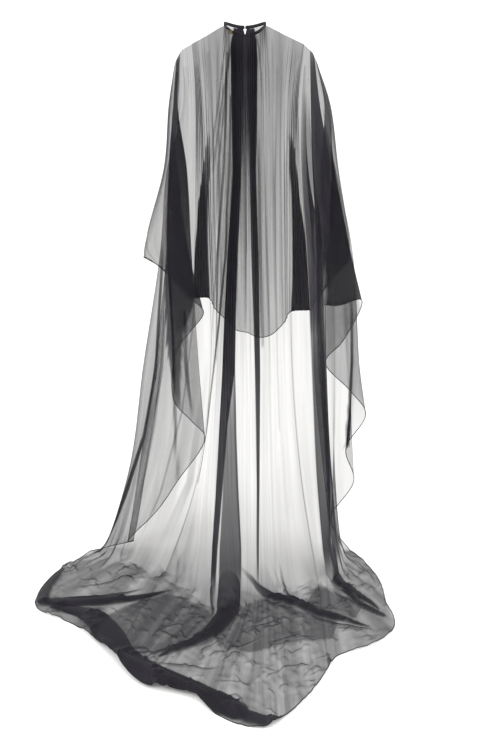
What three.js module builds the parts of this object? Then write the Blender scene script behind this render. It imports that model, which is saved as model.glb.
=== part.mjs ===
// A sheer kaftan as it hangs when worn: short front, wing sleeves, and a back that runs into a train.
// Millimetres, +Z up. The wearer faces -Y and the train runs out towards +Y. The origin is the
// centre of the neck opening, level with the back of the neckline.

import * as THREE from 'three';

// Driving dimensions

const FLOOR_Z = -1520;
const CLOTH_WALL = 1.2;
const SEAM_GAP = 0.3;
const FLOOR_CLEARANCE = 1;

const NECK_HALF_WIDTH = 57;
const NECK_HALF_DEPTH = 60;
const NECK_TILT = 10;
const NECK_SIDE_RISE = 10;
const SLIT_DROP = 34;

const BINDING = { height: 9, thickness: 2.4, lift: 1.1, openDegrees: 1.5, segments: 40 };
const EYE = { ringRadius: 2.4, wireRadius: 0.5 };
const HOOK = { reach: 6, wireRadius: 0.5, bend: 1.3 };
const LABEL = { width: 17, height: 11, thickness: 0.8, x: 40, below: 13, inside: 1 };

const PLEAT_COLUMNS = 4;
const PLAIN_COLUMNS = 2;
const FOLD_LEAD = 11;
const FOLD_LEAD_SHARE = 0.3;
const FOLD_RADIUS = 1.5;
const PLEAT_AT_NECK = 0.3;
const PLEAT_FULL_BELOW = 90;
const PLEAT_ON_FLOOR = 0.3;
const SHARPEST_MITRE = 1.6;
const STEEPEST_PLEAT = 0.8;

const frontRows = evenly(11);
const backRows = evenly(21);

// Levels at which the folds are placed, with the depth of the hanging back there at the middle,
// and how much nearer the wearer it lies for each 100 mm to the side, squared

const LEVELS = [
  { name: 'chest', z: -200, depth: 105, bow: 12 },
  { name: 'elbow', z: -370, depth: 114, bow: 6.2 },
  { name: 'wrist', z: -600, depth: 125, bow: 7 },
  { name: 'thigh', z: -930, depth: 162, bow: 8.8 },
  { name: 'calf', z: -1250, depth: 238, bow: 12 },
];
const level = Object.fromEntries(LEVELS.map((row) => [row.name, row]));

// Outer line of each arm, from the top of the armhole to the wrist

const ARM_LINES = {
  left: [
    { x: 146, z: -37 },
    { x: 173, z: -50 },
    { x: 193, z: -84 },
    { x: 206, z: -140 },
    { x: 214, z: -240 },
    { x: 229, z: -370 },
    { x: 256, z: -460 },
    { x: 281, z: -550 },
    { x: 296, z: -625 },
  ],
  right: [
    { x: -162, z: -38 },
    { x: -187, z: -60 },
    { x: -201, z: -90 },
    { x: -220, z: -145 },
    { x: -240, z: -240 },
    { x: -264, z: -370 },
    { x: -283, z: -460 },
    { x: -298, z: -550 },
    { x: -312, z: -625 },
  ],
};

// Folds of the back panel, left to right: x at the neckline or shoulder and at each level, then
// where the fold meets the floor and where it ends at the hem of the train. Pleats lie between a
// fold and the next one.

const BACK_FOLDS = [
  {
    name: 'plain left', top: 104, chest: 90, elbow: 86, wrist: 90, thigh: 92, calf: 126,
    touchX: 168, touchY: 350, endX: 300, endY: 750, pleats: 1, deep: 8,
  },
  {
    name: 'neck side left', top: 57, chest: 70, elbow: 71, wrist: 78, thigh: 87, calf: 110,
    touchX: 134, touchY: 400, endX: 276, endY: 786, pleats: 1, deep: 5,
  },
  {
    name: 'fan left', top: 46, chest: 54, elbow: 55, wrist: 66, thigh: 80, calf: 97,
    touchX: 102, touchY: 440, endX: 256, endY: 808, pleats: 1, deep: 7,
  },
  {
    name: 'band left', top: 36, chest: 38, elbow: 38, wrist: 54, thigh: 72, calf: 85,
    touchX: 71, touchY: 466, endX: 234, endY: 825, pleats: 4, deep: 14,
  },
  {
    name: 'band right', top: 20, chest: 22, elbow: 20, wrist: 26, thigh: 27, calf: 18,
    touchX: 11, touchY: 440, endX: 121, endY: 868, pleats: 2, deep: 6,
  },
  {
    name: 'slit left', top: 4, chest: 3, elbow: 0, wrist: -1, thigh: -3, calf: -6,
    touchX: -5, touchY: 430, endX: 84, endY: 912, pleats: 0, deep: 0,
  },
  {
    name: 'slit foot', drop: SLIT_DROP, top: 0, chest: -1, elbow: -3, wrist: -4, thigh: -6,
    calf: -10,
    touchX: -9, touchY: 428, endX: 72, endY: 926, pleats: 0, deep: 0,
  },
  {
    name: 'slit right', top: -4, chest: -5, elbow: -7, wrist: -8, thigh: -10, calf: -14,
    touchX: -14, touchY: 426, endX: 58, endY: 938, pleats: 1, deep: 5,
  },
  {
    name: 'strip left', top: -14, chest: -16, elbow: -20, wrist: -25, thigh: -28, calf: -31,
    touchX: -31, touchY: 410, endX: 14, endY: 969, pleats: 2, deep: 10,
  },
  {
    name: 'strip right', top: -30, chest: -33, elbow: -36, wrist: -40, thigh: -42, calf: -43,
    touchX: -47, touchY: 402, endX: -50, endY: 982, pleats: 1, deep: 6,
  },
  {
    name: 'fan right', top: -46, chest: -50, elbow: -54, wrist: -58, thigh: -62, calf: -68,
    touchX: -76, touchY: 388, endX: -82, endY: 952, pleats: 1, deep: 5,
  },
  {
    name: 'neck side right', top: -57, chest: -68, elbow: -71, wrist: -75, thigh: -80, calf: -90,
    touchX: -104, touchY: 372, endX: -108, endY: 920, pleats: 1, deep: 7,
  },
  {
    name: 'plain right', top: -106, chest: -104, elbow: -100, wrist: -101, thigh: -106,
    calf: -124,
    touchX: -150, touchY: 352, endX: -160, endY: 840, pleats: 1, deep: 8,
  },
];

// Folds of the front panel, left to right, between its side seams: x at the neckline or shoulder,
// then x and depth at chest, hip and hem, and the height of the hem

const FRONT_FOLDS = [
  {
    name: 'left bunch', top: 132, chestX: 120, chestY: -72, hipX: 112, hipY: -46,
    hemX: 108, hemY: -44, hemZ: -762, pleats: 0, deep: 0,
  },
  {
    name: 'left inner', top: 106, chestX: 98, chestY: -92, hipX: 92, hipY: -88,
    hemX: 88, hemY: -86, hemZ: -808, pleats: 1, deep: 8,
  },
  {
    name: 'neck side left', top: 57, chestX: 60, chestY: -112, hipX: 58, hipY: -114,
    hemX: 52, hemY: -114, hemZ: -852, pleats: 1, deep: 6,
  },
  {
    name: 'left middle', top: 34, chestX: 34, chestY: -121, hipX: 30, hipY: -126,
    hemX: 24, hemY: -127, hemZ: -884, pleats: 1, deep: 7,
  },
  {
    name: 'centre', top: 0, chestX: 0, chestY: -125, hipX: -2, hipY: -130,
    hemX: -6, hemY: -132, hemZ: -892, pleats: 1, deep: 7,
  },
  {
    name: 'right middle', top: -34, chestX: -36, chestY: -121, hipX: -38, hipY: -126,
    hemX: -42, hemY: -127, hemZ: -906, pleats: 1, deep: 7,
  },
  {
    name: 'neck side right', top: -57, chestX: -64, chestY: -111, hipX: -68, hipY: -114,
    hemX: -78, hemY: -114, hemZ: -896, pleats: 1, deep: 8,
  },
  {
    name: 'right inner', top: -112, chestX: -106, chestY: -92, hipX: -112, hipY: -90,
    hemX: -118, hemY: -88, hemZ: -850, pleats: 0, deep: 0,
  },
  {
    name: 'right bunch', top: -146, chestX: -130, chestY: -72, hipX: -132, hipY: -50,
    hemX: -136, hemY: -46, hemZ: -805, pleats: 0, deep: 0,
  },
];
const BUNCH = { pleats: 3, deep: 11 };

// Seams between the back panel and the wings, and between the front panel and the wings

const SEAMS = {
  left: {
    back: {
      chest: 127, elbow: 110, wrist: 103, thigh: 98, calf: 140,
      touchX: 235, touchY: 243, endX: 333, endY: 693,
    },
    front: { chestX: 138, chestY: -58, hipX: 148, hipY: -34, hemX: 154, hemY: -32, hemZ: -760 },
  },
  right: {
    back: {
      chest: -143, elbow: -134, wrist: -129, thigh: -135, calf: -164,
      touchX: -210, touchY: 328, endX: -207, endY: 745,
    },
    front: { chestX: -150, chestY: -58, hipX: -180, hipY: -36, hemX: -194, hemY: -34, hemZ: -797 },
  },
};

// Folds of a wing after its seam with the back panel, on towards the arm: x at each level. Those
// with a touch point lie on the floor and end at the hem of the train. The others hang, and end
// at lowX, lowY, lowZ on the free edge. A turn is where the cloth doubles back on itself.

const WING_FOLDS = {
  left: [
    {
      name: 'fan inner', chest: 140, elbow: 137, wrist: 142, thigh: 160, calf: 215, calfY: 180,
      touchX: 311, touchY: 212, endX: 450, endY: 544,
    },
    {
      name: 'fan middle', chest: 152, elbow: 164, wrist: 180, thigh: 214, calf: 270, calfY: 150,
      touchX: 376, touchY: 176, endX: 575, endY: 445,
    },
    {
      name: 'fan outer', chest: 162, elbow: 192, wrist: 212, thigh: 258, calf: 314, calfY: 126,
      touchX: 412, touchY: 150, endX: 562, endY: 286,
    },
    {
      name: 'fan edge', chest: 166, elbow: 204, wrist: 227, thigh: 278, calf: 332, calfY: 115,
      touchX: 428, touchY: 134, endX: 518, endY: 190,
    },
    {
      name: 'outer fold', chest: 170, elbow: 216, wrist: 240, thigh: 296, calf: 346, calfY: 105,
      touchX: 440, touchY: 118, endX: 466, endY: 118, turn: true,
    },
    {
      name: 'outer return', chest: 175, elbow: 211, wrist: 233, thigh: 284, calf: 330,
      lowX: 424, lowY: 90, lowZ: -1517,
    },
    {
      name: 'pleat inner', chest: 179, elbow: 206, wrist: 224, thigh: 244, calf: 296,
      lowX: 340, lowY: 82, lowZ: -1497, turn: true,
    },
    {
      name: 'pleat outer', chest: 182, elbow: 201, wrist: 222, thigh: 264, calf: 318,
      lowX: 362, lowY: 72, lowZ: -1506, turn: true,
    },
    {
      name: 'lower scallop', chest: 185, elbow: 194, wrist: 210, thigh: 224,
      lowX: 267, lowY: 65, lowZ: -1401,
    },
    {
      name: 'inner notch', chest: 186, elbow: 180, wrist: 190, thigh: 198,
      lowX: 206, lowY: 58, lowZ: -1310,
    },
    {
      name: 'inner fold', chest: 185, elbow: 162, wrist: 153, thigh: 137,
      lowX: 121, lowY: 51, lowZ: -1170, turn: true,
    },
    {
      name: 'middle run', chest: 191, elbow: 186, wrist: 186, thigh: 172,
      lowX: 160, lowY: 43, lowZ: -1122,
    },
    {
      name: 'return fold', chest: 197, elbow: 212, wrist: 222, thigh: 212,
      lowX: 214, lowY: 35, lowZ: -1057, turn: true,
    },
    { name: 'upper notch', chest: 198, elbow: 206, wrist: 206, lowX: 201, lowY: 28, lowZ: -903 },
    { name: 'upper run', chest: 200, elbow: 198, wrist: 188, lowX: 162, lowY: 21, lowZ: -849 },
    {
      name: 'upper fold', chest: 203, elbow: 190, wrist: 164,
      lowX: 122, lowY: 14, lowZ: -790, turn: true,
    },
    { name: 'cuff corner', chest: 206, elbow: 212, wrist: 222, lowX: 165, lowY: 7, lowZ: -748 },
    { name: 'under wrist', chest: 209, elbow: 223, wrist: 258, lowX: 204, lowY: 11, lowZ: -700 },
    { name: 'cuff inner', chest: 212, elbow: 228, wrist: 282, lowX: 246, lowY: 14, lowZ: -656 },
    { name: 'arm line', chest: 213, elbow: 230, wrist: 292, lowX: 295, lowY: 0, lowZ: -630 },
  ],
  right: [
    {
      name: 'band 1', chest: -155, elbow: -157, wrist: -176, thigh: -194, calf: -212, calfY: 180,
      touchX: -234, touchY: 322, endX: -232, endY: 690, turn: true,
    },
    {
      name: 'band 2', chest: -164, elbow: -175, wrist: -214, thigh: -230, calf: -250, calfY: 162,
      touchX: -255, touchY: 292, endX: -328, endY: 636, turn: true,
    },
    {
      name: 'band 3', chest: -167, elbow: -170, wrist: -190, thigh: -199, calf: -232, calfY: 147,
      touchX: -272, touchY: 256, endX: -396, endY: 550, turn: true,
    },
    {
      name: 'band 4', chest: -176, elbow: -190, wrist: -222, thigh: -236, calf: -257, calfY: 132,
      touchX: -290, touchY: 226, endX: -391, endY: 424, turn: true,
    },
    {
      name: 'band 5', chest: -180, elbow: -187, wrist: -202, thigh: -212, calf: -253, calfY: 119,
      touchX: -298, touchY: 182, endX: -385, endY: 284,
    },
    {
      name: 'floor run', chest: -186, elbow: -202, wrist: -222, thigh: -234, calf: -261,
      calfY: 108,
      touchX: -306, touchY: 146, endX: -354, endY: 172,
    },
    {
      name: 'floor corner', chest: -191, elbow: -211, wrist: -238, thigh: -254, calf: -268,
      calfY: 98,
      touchX: -302, touchY: 113, endX: -322, endY: 106,
    },
    {
      name: 'low notch', chest: -196, elbow: -220, wrist: -250, thigh: -268, calf: -266,
      lowX: -262, lowY: 86, lowZ: -1426,
    },
    {
      name: 'low lobe', chest: -201, elbow: -229, wrist: -272, thigh: -300,
      lowX: -330, lowY: 78, lowZ: -1300,
    },
    {
      name: 'pleat line', chest: -206, elbow: -240, wrist: -288, thigh: -314,
      lowX: -303, lowY: 70, lowZ: -1201,
    },
    {
      name: 'outer fold', chest: -211, elbow: -253, wrist: -306, thigh: -336,
      lowX: -361, lowY: 60, lowZ: -1092, turn: true,
    },
    {
      name: 'return run', chest: -215, elbow: -232, wrist: -266, thigh: -290,
      lowX: -314, lowY: 50, lowZ: -1024,
    },
    {
      name: 'inner fold', chest: -219, elbow: -212, wrist: -226,
      lowX: -238, lowY: 40, lowZ: -937, turn: true,
    },
    { name: 'upper run', chest: -223, elbow: -234, wrist: -266, lowX: -289, lowY: 31, lowZ: -875 },
    {
      name: 'sleeve tip', chest: -227, elbow: -252, wrist: -302,
      lowX: -342, lowY: 22, lowZ: -752, turn: true,
    },
    { name: 'under sleeve', chest: -231, elbow: -247, wrist: -262, lowX: -268, lowY: 13, lowZ: -772 },
    {
      name: 'sleeve corner', chest: -234, elbow: -243, wrist: -236,
      lowX: -214, lowY: 4, lowZ: -760, turn: true,
    },
    { name: 'cuff inner', chest: -237, elbow: -259, wrist: -276, lowX: -250, lowY: -6, lowZ: -702 },
    { name: 'arm line', chest: -239, elbow: -265, wrist: -306, lowX: -304, lowY: -14, lowZ: -640 },
  ],
};

// Folds of the front of a wing, from the arm back to its seam with the front panel: its depth at
// each level, and how far along it lies from the arm line, 0, to the seam, 1

const WING_FRONT_FOLDS = [
  { name: 'front of arm', across: 0.08, chestY: -24, elbowY: -26, hemY: -30 },
  { name: 'front run', across: 0.32, chestY: -38, elbowY: -46, hemY: -48 },
  { name: 'front hollow', across: 0.66, chestY: -48, elbowY: -50, hemY: -44 },
];

// How deep the layers behind the arm lie, from the one next to the back panel to the innermost
const NEST = {
  chest: { backmost: 79, innermost: 36 },
  elbow: { backmost: 98, innermost: 38 },
  layersRoundArm: 3,
};
const SLEEVE_TOP_END = -96;

// Small helpers

function evenly(count) {
  return Array.from({ length: count }, (_, index) => index / (count - 1));
}

function mix(a, b, share) {
  return a + (b - a) * share;
}

function mixColumns(a, b, share) {
  return a.map((point, row) => point.clone().lerp(b[row], share));
}

function sampleCurve(stations, shares) {
  const curve = new THREE.CatmullRomCurve3(stations, false, 'centripetal');
  curve.arcLengthDivisions = 400;
  return shares.map((share) => curve.getPointAt(share));
}

function smooth(from, to, value) {
  const share = THREE.MathUtils.clamp((value - from) / (to - from), 0, 1);
  return share * share * (3 - 2 * share);
}

// The neckline is an oval whose sides rise above the front and back

function neckPoint(angle) {
  return new THREE.Vector3(
    NECK_HALF_WIDTH * Math.sin(angle),
    NECK_HALF_DEPTH * Math.cos(angle),
    NECK_TILT * Math.cos(angle) - NECK_SIDE_RISE * Math.cos(2 * angle),
  );
}

function armPoint(side, z) {
  const line = ARM_LINES[side];
  const next = line.findIndex((row) => row.z <= z);
  if (next <= 0) return new THREE.Vector3(line[0].x, 0, line[0].z);
  const above = line[next - 1];
  const below = line[next];
  return new THREE.Vector3(mix(above.x, below.x, (above.z - z) / (above.z - below.z)), 0, z);
}

// The top edge of front and back: the neckline, or beyond it the shoulder line to the armhole

function topPoint(x, isBack) {
  if (Math.abs(x) <= NECK_HALF_WIDTH) {
    const angle = Math.asin(x / NECK_HALF_WIDTH);
    return neckPoint(isBack ? angle : Math.PI - angle);
  }
  const armhole = ARM_LINES[x > 0 ? 'left' : 'right'][0];
  const neckSide = neckPoint(Math.PI / 2);
  const share = (Math.abs(x) - NECK_HALF_WIDTH) / (Math.abs(armhole.x) - NECK_HALF_WIDTH);
  return new THREE.Vector3(x, 0, mix(neckSide.z, armhole.z, share));
}

function shoulderNormal(x) {
  const armhole = ARM_LINES[x > 0 ? 'left' : 'right'][0];
  const rise = neckPoint(Math.PI / 2).z - armhole.z;
  const run = Math.abs(armhole.x) - NECK_HALF_WIDTH;
  return new THREE.Vector3(Math.sign(x) * rise, 0, run).normalize();
}

function hangingDepth(row, x) {
  return row.depth - row.bow * (x / 100) ** 2;
}

function floorStations(fold) {
  const z = FLOOR_Z + CLOTH_WALL / 2 + FLOOR_CLEARANCE;
  const touch = new THREE.Vector3(fold.touchX, fold.touchY, z);
  const end = new THREE.Vector3(fold.endX, fold.endY, z);
  return [touch, touch.clone().lerp(end, 0.35), touch.clone().lerp(end, 0.7), end];
}

// One fold of the back, from its top point down to the floor and out to the hem

function backFold(fold, top) {
  const stations = [top];
  for (const row of LEVELS) {
    const x = fold[row.name];
    const y = row.name === 'calf' && fold.calfY ? fold.calfY : hangingDepth(row, x);
    stations.push(new THREE.Vector3(x, y, row.z));
  }
  return stations.concat(floorStations(fold));
}

function frontFold(fold, top) {
  return [
    top,
    new THREE.Vector3(fold.chestX, fold.chestY, level.chest.z),
    new THREE.Vector3(fold.hipX, fold.hipY, level.wrist.z),
    new THREE.Vector3(fold.hemX, fold.hemY, fold.hemZ),
  ];
}

// Depth of a layer behind the arm. The last few layers close round the arm to its outer line.

function nestDepth({ backmost, innermost }, index, count) {
  const stacked = count - NEST.layersRoundArm;
  if (index <= stacked) return mix(backmost, innermost, index / stacked);
  return innermost * (count - index) / NEST.layersRoundArm;
}

function sleeveTop(side, share) {
  return armPoint(side, mix(ARM_LINES[side][0].z, SLEEVE_TOP_END, share));
}

// One fold of the back of a wing, from the top of the sleeve to the floor or to the free edge

function wingFold(side, fold, index) {
  const count = WING_FOLDS[side].length;
  const elbowY = nestDepth(NEST.elbow, index, count);
  const stations = [sleeveTop(side, index / count)];
  const hangs = fold.lowX !== undefined;
  const lowestZ = hangs ? fold.lowZ : level.calf.z;
  const lowestY = hangs ? fold.lowY : fold.calfY;
  for (const row of LEVELS.filter(({ name }) => fold[name] !== undefined)) {
    const fallen = (level.elbow.z - row.z) / (level.elbow.z - lowestZ);
    const y = row.name === 'chest' ? nestDepth(NEST.chest, index, count) : mix(elbowY, lowestY, fallen);
    stations.push(new THREE.Vector3(fold[row.name], y, row.z));
  }
  if (hangs) stations.push(new THREE.Vector3(fold.lowX, fold.lowY, fold.lowZ));
  return hangs ? stations : stations.concat(floorStations(fold));
}

function wingFrontFold(side, fold) {
  const armLine = WING_FOLDS[side].at(-1);
  const seam = SEAMS[side].front;
  return [
    sleeveTop(side, 1 - fold.across),
    new THREE.Vector3(mix(armLine.chest, seam.chestX, fold.across), fold.chestY, level.chest.z),
    new THREE.Vector3(mix(armLine.elbow, seam.chestX, fold.across), fold.elbowY, level.elbow.z),
    new THREE.Vector3(
      mix(armLine.lowX, seam.hemX, fold.across),
      fold.hemY,
      mix(armLine.lowZ, seam.hemZ, fold.across),
    ),
  ];
}

// Pleats stand out of the cloth between two folds, outwards where it hangs and upwards where it
// lies. They are pressed low at the neckline and on the floor, and run out at a plain shoulder.

function raisePleats(column, wave, deep, pitches) {
  const top = column[0];
  const startsGathered = Math.abs(top.x) < NECK_HALF_WIDTH;
  return column.map((point, row) => {
    const above = column[Math.max(row - 1, 0)];
    const below = column[Math.min(row + 1, column.length - 1)];
    const fall = below.clone().sub(above).normalize();
    const outward = new THREE.Vector3(1, 0, 0).cross(fall).normalize();
    if (outward.z + Math.sign(top.y || point.y) * outward.y < 0) outward.negate();
    if (row === 0) outward.setZ(0);
    const grown = smooth(0, PLEAT_FULL_BELOW, top.distanceTo(point));
    const upper = startsGathered ? mix(PLEAT_AT_NECK, 1, grown) : grown;
    const lower = mix(PLEAT_ON_FLOOR, 1, smooth(FLOOR_Z, level.calf.z, point.z));
    const height = Math.min(deep, pitches[row] * STEEPEST_PLEAT) * upper * lower;
    return point.clone().addScaledVector(outward, height * wave);
  });
}

// Columns across a panel, from the columns of its folds

function panelColumns(folds, foldColumns, isBack) {
  const columns = [];
  for (let index = 0; index < folds.length - 1; index += 1) {
    const { pleats, deep } = folds[index];
    const steps = pleats ? pleats * PLEAT_COLUMNS : PLAIN_COLUMNS;
    const startsAtTop = !folds[index].drop && !folds[index + 1].drop;
    for (let step = 0; step < steps; step += 1) {
      const share = step / steps;
      const column = mixColumns(foldColumns[index], foldColumns[index + 1], share);
      if (startsAtTop) column[0] = topPoint(column[0].x, isBack);
      const wave = pleats ? (1 - Math.cos(2 * Math.PI * pleats * share)) / 2 : 0;
      const next = foldColumns[index + 1];
      const pitches = foldColumns[index].map((point, row) => point.distanceTo(next[row]) / pleats);
      columns.push(pleats ? raisePleats(column, wave, deep, pitches) : column);
    }
  }
  columns.push(foldColumns.at(-1));
  return columns;
}

function backColumn(fold, top) {
  const stations = backFold(fold, top);
  if (!fold.drop) return keepOffFloor(sampleCurve(stations, backRows));
  const length = new THREE.CatmullRomCurve3(stations, false, 'centripetal').getLength();
  const belowSlit = backRows.map((share) => mix(fold.drop / length, 1, share));
  return keepOffFloor(sampleCurve(stations, belowSlit));
}

function keepOffFloor(column) {
  const lowest = FLOOR_Z + CLOTH_WALL / 2 + FLOOR_CLEARANCE;
  return column.map((point) => point.setZ(Math.max(point.z, lowest)));
}

function seamBackColumn(side) {
  return backColumn(SEAMS[side].back, armPoint(side, 0));
}

function seamFrontColumn(side) {
  return sampleCurve(frontFold(SEAMS[side].front, armPoint(side, 0)), frontRows);
}

function backPanelColumns() {
  const folds = [
    { pleats: 1, deep: 8 },
    ...BACK_FOLDS,
    { pleats: 0 },
  ];
  const foldColumns = [
    seamBackColumn('left'),
    ...BACK_FOLDS.map((fold) => backColumn(fold, topPoint(fold.top, true))),
    seamBackColumn('right'),
  ];
  return panelColumns(folds, foldColumns, true);
}

function frontPanelColumns() {
  const folds = [BUNCH, ...FRONT_FOLDS.slice(0, -1), { ...FRONT_FOLDS.at(-1), ...BUNCH }, { pleats: 0 }];
  const foldColumns = [
    seamFrontColumn('left'),
    ...FRONT_FOLDS.map((fold) => sampleCurve(frontFold(fold, topPoint(fold.top, false)), frontRows)),
    seamFrontColumn('right'),
  ];
  return panelColumns(folds, foldColumns, false);
}

function wingColumn(side, fold, index) {
  return keepOffFloor(sampleCurve(wingFold(side, fold, index), backRows));
}

// A wing runs from its seam with the back panel, round the arm, to its seam with the front panel.
// Where the cloth doubles back, the turn is rounded by a column on each side.

function wingColumns(side) {
  const folds = [{}, ...WING_FOLDS[side], ...WING_FRONT_FOLDS, {}];
  const foldColumns = [
    seamBackColumn(side),
    ...WING_FOLDS[side].map((fold, index) => wingColumn(side, fold, index + 1)),
    ...WING_FRONT_FOLDS.map((fold) => sampleCurve(wingFrontFold(side, fold), backRows)),
    withMidpoints(seamFrontColumn(side)),
  ];
  const columns = [];
  foldColumns.forEach((column, index) => {
    const next = folds[index + 1];
    if (folds[index].turn) columns.push(leadColumn(foldColumns, index, -1));
    columns.push(column);
    if (folds[index].turn) columns.push(leadColumn(foldColumns, index, 1));
    else if (next && !next.turn) columns.push(mixColumns(column, foldColumns[index + 1], 0.5));
  });
  return columns;
}

function leadColumn(columns, index, step) {
  const towards = columns[index + step];
  return columns[index].map((point, row) => {
    const distance = Math.max(point.distanceTo(towards[row]), 1);
    const led = point.clone().lerp(towards[row], Math.min(FOLD_LEAD_SHARE, FOLD_LEAD / distance));
    const hanging = smooth(mix(FLOOR_Z, level.calf.z, 0.4), level.calf.z, point.z) * smooth(0, 3, row);
    led.y -= step * FOLD_RADIUS * hanging * Math.min(distance / FOLD_LEAD / 3, 1);
    return led;
  });
}

// The front seam has half as many rows as a wing, so the wing's edge takes points midway

function withMidpoints(column) {
  return column.flatMap((point, row) => {
    const next = column[row + 1];
    return next ? [point, point.clone().lerp(next, 0.5)] : [point];
  });
}

// A closed wall of even thickness about a grid of points. A ghost column belongs to the piece on
// the other side of a seam: it shapes the wall's edge there, and the edge stands back by half the
// seam's gap.

function sheetGeometry(columns, { ghostFirst, ghostLast, edgeNormal, standBack }) {
  const rowCount = columns[0].length;
  const all = [ghostFirst, ...columns, ghostLast].filter(Boolean);
  const offset = ghostFirst ? 1 : 0;
  const at = (i, j) => {
    const column = all[THREE.MathUtils.clamp(i + offset, 0, all.length - 1)];
    return column[THREE.MathUtils.clamp(j, 0, rowCount - 1)];
  };
  const facet = (i, j, di, dj) => {
    const across = at(i + di, j).clone().sub(at(i, j)).multiplyScalar(di);
    const down = at(i, j + dj).clone().sub(at(i, j)).multiplyScalar(dj);
    return across.cross(down);
  };
  const outer = [];
  const inner = [];
  columns.forEach((column, i) => {
    column.forEach((point, j) => {
      const facets = [[1, 1], [1, -1], [-1, 1], [-1, -1]]
        .map(([di, dj]) => facet(i, j, di, dj))
        .filter((vector) => vector.length() > 1e-6)
        .map((vector) => vector.normalize());
      const given = edgeNormal(i, j);
      const normal = given || facets.reduce((sum, vector) => sum.add(vector), new THREE.Vector3());
      if (j === 0 && !given) normal.setZ(0);
      normal.normalize();
      const spread = facets.reduce((sum, vector) => sum + vector.dot(normal), 0) / facets.length;
      const reach = (CLOTH_WALL / 2) * (given ? 1 : Math.min(1 / Math.max(spread, 0.3), SHARPEST_MITRE));
      const place = point.clone();
      if (ghostFirst && i === 0) place.add(stepInto(column, columns[1], j));
      if (ghostLast && i === columns.length - 1) place.add(stepInto(column, columns[i - 1], j));
      place.y += standBack(i, j) * SEAM_GAP / 2;
      outer.push(place.clone().addScaledVector(normal, reach));
      inner.push(place.clone().addScaledVector(normal, -reach));
    });
  });
  return closedWall(outer, inner, columns.length, rowCount);
}

// Half the seam's gap, straight away from the seam line

function stepInto(column, neighbour, j) {
  const above = column[Math.max(j - 1, 0)];
  const below = column[Math.min(j + 1, column.length - 1)];
  const along = below.clone().sub(above).normalize();
  const into = neighbour[j].clone().sub(column[j]);
  into.addScaledVector(along, -into.dot(along));
  return into.length() > SEAM_GAP ? into.setLength(SEAM_GAP / 2) : into.multiplyScalar(0);
}

function closedWall(outer, inner, columnCount, rowCount) {
  const innerStart = outer.length;
  const index = [];
  const outerAt = (i, j) => i * rowCount + j;
  const addQuad = (a, b, c, d) => index.push(a, b, c, a, c, d);
  for (let i = 0; i < columnCount - 1; i += 1) {
    for (let j = 0; j < rowCount - 1; j += 1) {
      const quad = [outerAt(i, j), outerAt(i + 1, j), outerAt(i + 1, j + 1), outerAt(i, j + 1)];
      const firstDiagonal = outer[quad[0]].distanceTo(outer[quad[2]]);
      const secondDiagonal = outer[quad[1]].distanceTo(outer[quad[3]]);
      const turned = firstDiagonal <= secondDiagonal ? quad : [quad[1], quad[2], quad[3], quad[0]];
      const [a, b, c, d] = turned;
      addQuad(a, b, c, d);
      addQuad(...[c, b, a, d].map((corner) => corner + innerStart));
    }
  }
  const rim = [];
  for (let i = 0; i < columnCount; i += 1) rim.push(outerAt(i, 0));
  for (let j = 1; j < rowCount; j += 1) rim.push(outerAt(columnCount - 1, j));
  for (let i = columnCount - 2; i >= 0; i -= 1) rim.push(outerAt(i, rowCount - 1));
  for (let j = rowCount - 2; j > 0; j -= 1) rim.push(outerAt(0, j));
  rim.forEach((corner, place) => {
    const next = rim[(place + 1) % rim.length];
    addQuad(next, corner, corner + innerStart, next + innerStart);
  });
  const vertices = outer.concat(inner);
  if (signedVolume(vertices, index) < 0) {
    for (let k = 0; k < index.length; k += 3) [index[k], index[k + 1]] = [index[k + 1], index[k]];
  }
  const geometry = new THREE.BufferGeometry().setFromPoints(vertices);
  geometry.setIndex(index);
  geometry.computeVertexNormals();
  return geometry;
}

function signedVolume(vertices, index) {
  let total = 0;
  for (let k = 0; k < index.length; k += 3) {
    const [a, b, c] = [vertices[index[k]], vertices[index[k + 1]], vertices[index[k + 2]]];
    total += a.dot(b.clone().cross(c));
  }
  return total;
}

// Materials

const CHIFFON = new THREE.MeshStandardMaterial({ color: 0x16151a, roughness: 0.75, metalness: 0 });
const SATIN = new THREE.MeshStandardMaterial({ color: 0x8a6f3c, roughness: 0.5, metalness: 0 });
const WIRE = new THREE.MeshStandardMaterial({ color: 0x1a1a1c, roughness: 0.35, metalness: 0.9 });

function namedMesh(name, geometry, material) {
  const mesh = new THREE.Mesh(geometry, material);
  mesh.name = name;
  return mesh;
}

// Panels and wings

function makeBackPanel() {
  const columns = backPanelColumns();
  const geometry = sheetGeometry(columns, {
    ghostFirst: wingColumns('left')[1],
    ghostLast: wingColumns('right')[1],
    edgeNormal: (i, j) => (onShoulder(columns[i], j) ? shoulderNormal(columns[i][0].x).negate() : null),
    standBack: (i, j) => (onShoulder(columns[i], j) ? 1 : 0),
  });
  return namedMesh('back_panel', geometry, CHIFFON);
}

function makeFrontPanel() {
  const columns = frontPanelColumns();
  const frontOf = (side) => wingColumns(side).at(-2).filter((_, row) => row % 2 === 0);
  const geometry = sheetGeometry(columns, {
    ghostFirst: frontOf('left'),
    ghostLast: frontOf('right'),
    edgeNormal: (i, j) => (onShoulder(columns[i], j) ? shoulderNormal(columns[i][0].x) : null),
    standBack: (i, j) => (onShoulder(columns[i], j) ? -1 : 0),
  });
  return namedMesh('front_panel', geometry, CHIFFON);
}

function onShoulder(column, row) {
  return row === 0 && Math.abs(column[0].x) >= NECK_HALF_WIDTH;
}

// The back and front of a wing meet along the top of the sleeve, as far as its outermost column

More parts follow.
